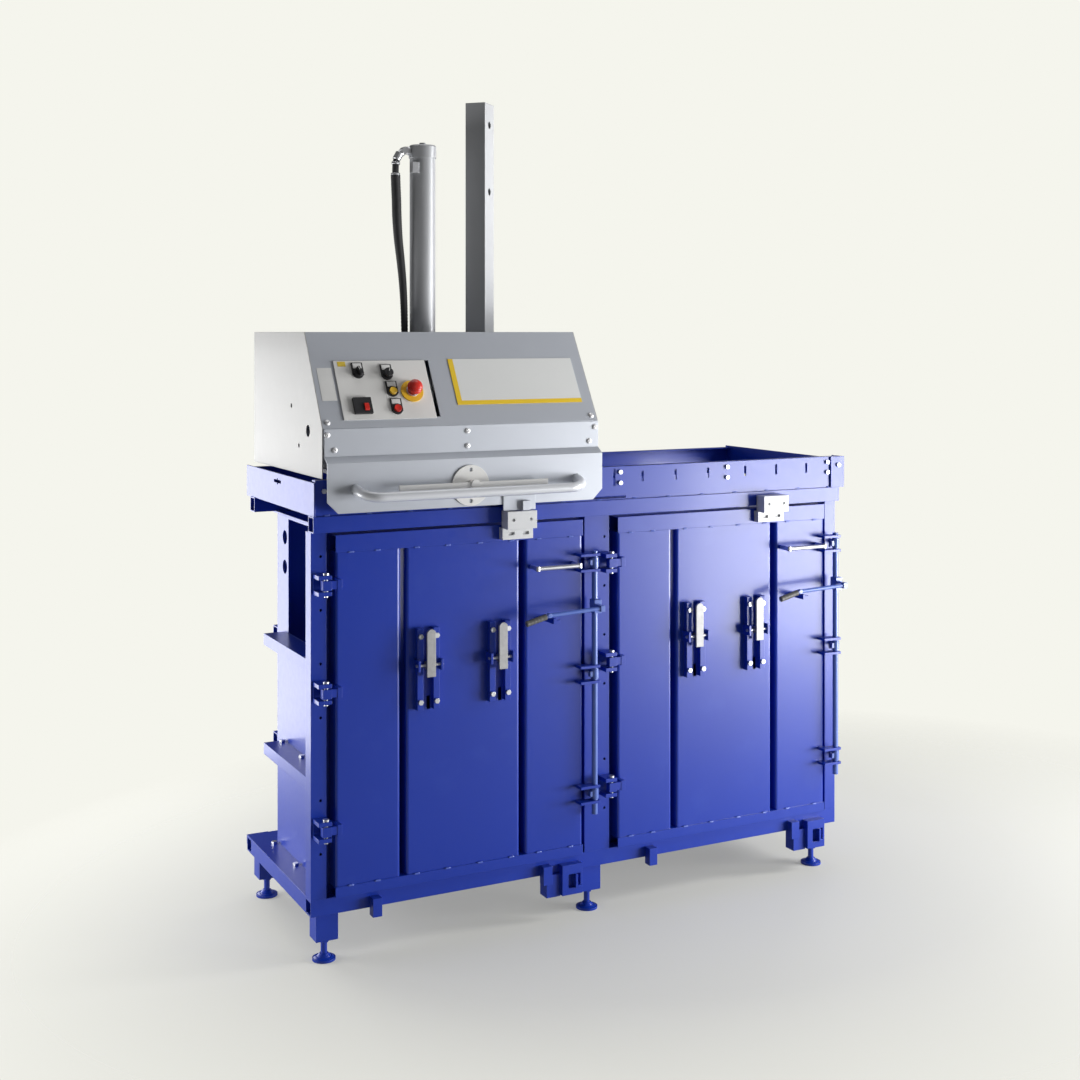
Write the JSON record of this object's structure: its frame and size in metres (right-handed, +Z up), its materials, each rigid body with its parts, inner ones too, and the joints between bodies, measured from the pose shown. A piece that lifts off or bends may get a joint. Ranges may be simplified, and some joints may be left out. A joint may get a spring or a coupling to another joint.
{
  "type": "waste baler",
  "caption": "Twin-chamber waste baler: a press carriage with cylinder and guide mast rolls on rails from one doored chamber to the other.",
  "frame": {"origin": "middle of the footprint on the floor, under the levelling feet", "axes": "+Z up, +X along the rails to the right, the doors face -Y"},
  "size_m": [1.618, 0.6778, 2.19],
  "materials": {
    "blue_paint": "satin",
    "grey_paint": "satin",
    "white_paint": "satin",
    "zinc_steel": "satin",
    "dark_paint": "satin",
    "black_plastic": "matte",
    "black_rubber": "matte",
    "yellow_plastic": "gloss",
    "red_plastic": "gloss",
    "sign_face": "satin"
  },
  "bodies": {
    "frame": {"base_frame": "blue_paint", "legs": "blue_paint", "feet": "blue_paint", "posts": "blue_paint", "side_walls": "blue_paint", "rear_walls": "blue_paint", "wall_ribs": "blue_paint", "deck_plate": "blue_paint", "top_tubes": "blue_paint", "front_rail": "blue_paint", "rail_frame": "blue_paint", "end_stop": "blue_paint", "hinge_brackets": "blue_paint", "hinge_pins": "zinc_steel", "latch_keepers": "blue_paint", "frame_bolts": "zinc_steel", "front_brackets": "blue_paint"},
    "left_door": {"door_left": "blue_paint", "lock_block_left": "white_paint", "brake_bolts_left": "zinc_steel"},
    "right_door": {"door_right": "blue_paint", "lock_block_right": "white_paint", "brake_bolts_right": "zinc_steel"},
    "left_latch": {"latch_shaft_left": "blue_paint", "lever_grip_left": "black_plastic"},
    "right_latch": {"latch_shaft_right": "blue_paint", "lever_grip_right": "black_plastic"},
    "clamp_1": {"strap_lever_1": "zinc_steel"},
    "clamp_2": {"strap_lever_2": "zinc_steel"},
    "clamp_3": {"strap_lever_3": "zinc_steel"},
    "clamp_4": {"strap_lever_4": "zinc_steel"},
    "carriage": {"carriage_frame": "grey_paint", "side_panels": "white_paint", "hood": "grey_paint", "apron": "grey_paint", "push_handle": "grey_paint", "lock_tongue": "grey_paint", "release_disc": "white_paint", "control_plate": "white_paint", "control_bezels": "zinc_steel", "stop_disc": "yellow_plastic", "main_switch": "black_plastic", "sign_plate": "sign_face", "hood_screws": "zinc_steel", "power_pack": "dark_paint", "cylinder": "grey_paint", "hose_fittings": "zinc_steel", "hydraulic_hose": "black_rubber"},
    "lock_lever": {"release_lever": "white_paint"},
    "stop_head": {"stop_button": "red_plastic"},
    "yellow_head": {"yellow_button": "yellow_plastic"},
    "red_head": {"red_button": "red_plastic"},
    "left_selector": {"selector_left": "black_plastic"},
    "right_selector": {"selector_right": "black_plastic"},
    "rocker": {"main_rocker": "red_plastic"},
    "wheel_front_left": {"roller_front_left": "zinc_steel"},
    "wheel_front_right": {"roller_front_right": "zinc_steel"},
    "wheel_rear_left": {"roller_rear_left": "zinc_steel"},
    "wheel_rear_right": {"roller_rear_right": "zinc_steel"},
    "press": {"ram": "grey_paint"}
  },
  "joints": [
    {"name": "carriage_slide", "type": "slide", "parent": "frame", "child": "carriage", "axis": [1, 0, 0], "range_m": [0, 0.8]},
    {"name": "ram_slide", "type": "slide", "parent": "carriage", "child": "press", "axis": [0, 0, -1], "range_m": [0, 0.62]},
    {"name": "left_door_hinge", "type": "hinge", "parent": "frame", "child": "left_door", "pos_m": [-0.782, -0.25525, 0.61], "axis": [0, 0, -1], "range_deg": [0, 90]},
    {"name": "left_latch_turn", "type": "hinge", "parent": "left_door", "child": "left_latch", "pos_m": [-0.032, -0.25325, 0.83], "axis": [0, 0, 1], "range_deg": [0, 80]},
    {"name": "right_door_hinge", "type": "hinge", "parent": "frame", "child": "right_door", "pos_m": [0.018, -0.25525, 0.61], "axis": [0, 0, -1], "range_deg": [0, 90]},
    {"name": "right_latch_turn", "type": "hinge", "parent": "right_door", "child": "right_latch", "pos_m": [0.768, -0.25325, 0.83], "axis": [0, 0, 1], "range_deg": [0, 80]},
    {"name": "clamp_1_tilt", "type": "hinge", "parent": "left_door", "child": "clamp_1", "pos_m": [-0.50953, -0.25725, 0.71893], "axis": [1, 0, 0], "range_deg": [0, 45]},
    {"name": "clamp_2_tilt", "type": "hinge", "parent": "left_door", "child": "clamp_2", "pos_m": [-0.30899, -0.25725, 0.71893], "axis": [1, 0, 0], "range_deg": [0, 45]},
    {"name": "clamp_3_tilt", "type": "hinge", "parent": "right_door", "child": "clamp_3", "pos_m": [0.29047, -0.25725, 0.71893], "axis": [1, 0, 0], "range_deg": [0, 45]},
    {"name": "clamp_4_tilt", "type": "hinge", "parent": "right_door", "child": "clamp_4", "pos_m": [0.49101, -0.25725, 0.71893], "axis": [1, 0, 0], "range_deg": [0, 45]},
    {"name": "lock_lever_turn", "type": "hinge", "parent": "carriage", "child": "lock_lever", "pos_m": [-0.401, -0.29525, 1.171], "axis": [0, 1, 0], "range_deg": [0, 25], "stiffness_Nm_per_rad": 2},
    {"name": "stop_push", "type": "slide", "parent": "carriage", "child": "stop_head", "axis": [0, 0.8617, -0.5075], "range_m": [0, 0.005], "stiffness_N_per_m": 600},
    {"name": "yellow_push", "type": "slide", "parent": "carriage", "child": "yellow_head", "axis": [0, 0.8617, -0.5075], "range_m": [0, 0.003], "stiffness_N_per_m": 400},
    {"name": "red_push", "type": "slide", "parent": "carriage", "child": "red_head", "axis": [0, 0.8617, -0.5075], "range_m": [0, 0.003], "stiffness_N_per_m": 400},
    {"name": "left_selector_turn", "type": "hinge", "parent": "carriage", "child": "left_selector", "pos_m": [-0.66698, -0.16827, 1.45306], "axis": [0, -0.8617, 0.5075], "range_deg": [-45, 45]},
    {"name": "right_selector_turn", "type": "hinge", "parent": "carriage", "child": "right_selector", "pos_m": [-0.59035, -0.17099, 1.44844], "axis": [0, -0.8617, 0.5075], "range_deg": [-45, 45]},
    {"name": "rocker_tilt", "type": "hinge", "parent": "carriage", "child": "rocker", "pos_m": [-0.6645, -0.21809, 1.36848], "axis": [1, 0, 0], "range_deg": [-10, 10]},
    {"name": "front_left_roll", "type": "hinge", "parent": "carriage", "child": "wheel_front_left", "pos_m": [-0.719, -0.21925, 1.219], "axis": [0, 1, 0], "continuous": true},
    {"name": "front_right_roll", "type": "hinge", "parent": "carriage", "child": "wheel_front_right", "pos_m": [-0.083, -0.21925, 1.219], "axis": [0, 1, 0], "continuous": true},
    {"name": "rear_left_roll", "type": "hinge", "parent": "carriage", "child": "wheel_rear_left", "pos_m": [-0.719, 0.32275, 1.208], "axis": [0, 1, 0], "continuous": true},
    {"name": "rear_right_roll", "type": "hinge", "parent": "carriage", "child": "wheel_rear_right", "pos_m": [-0.083, 0.32275, 1.208], "axis": [0, 1, 0], "continuous": true}
  ],
  "couplings": [
    {"joint": "front_left_roll", "follows": "carriage_slide", "rad_per_m": 40},
    {"joint": "front_right_roll", "follows": "carriage_slide", "rad_per_m": 40},
    {"joint": "rear_left_roll", "follows": "carriage_slide", "rad_per_m": 40},
    {"joint": "rear_right_roll", "follows": "carriage_slide", "rad_per_m": 40}
  ]
}
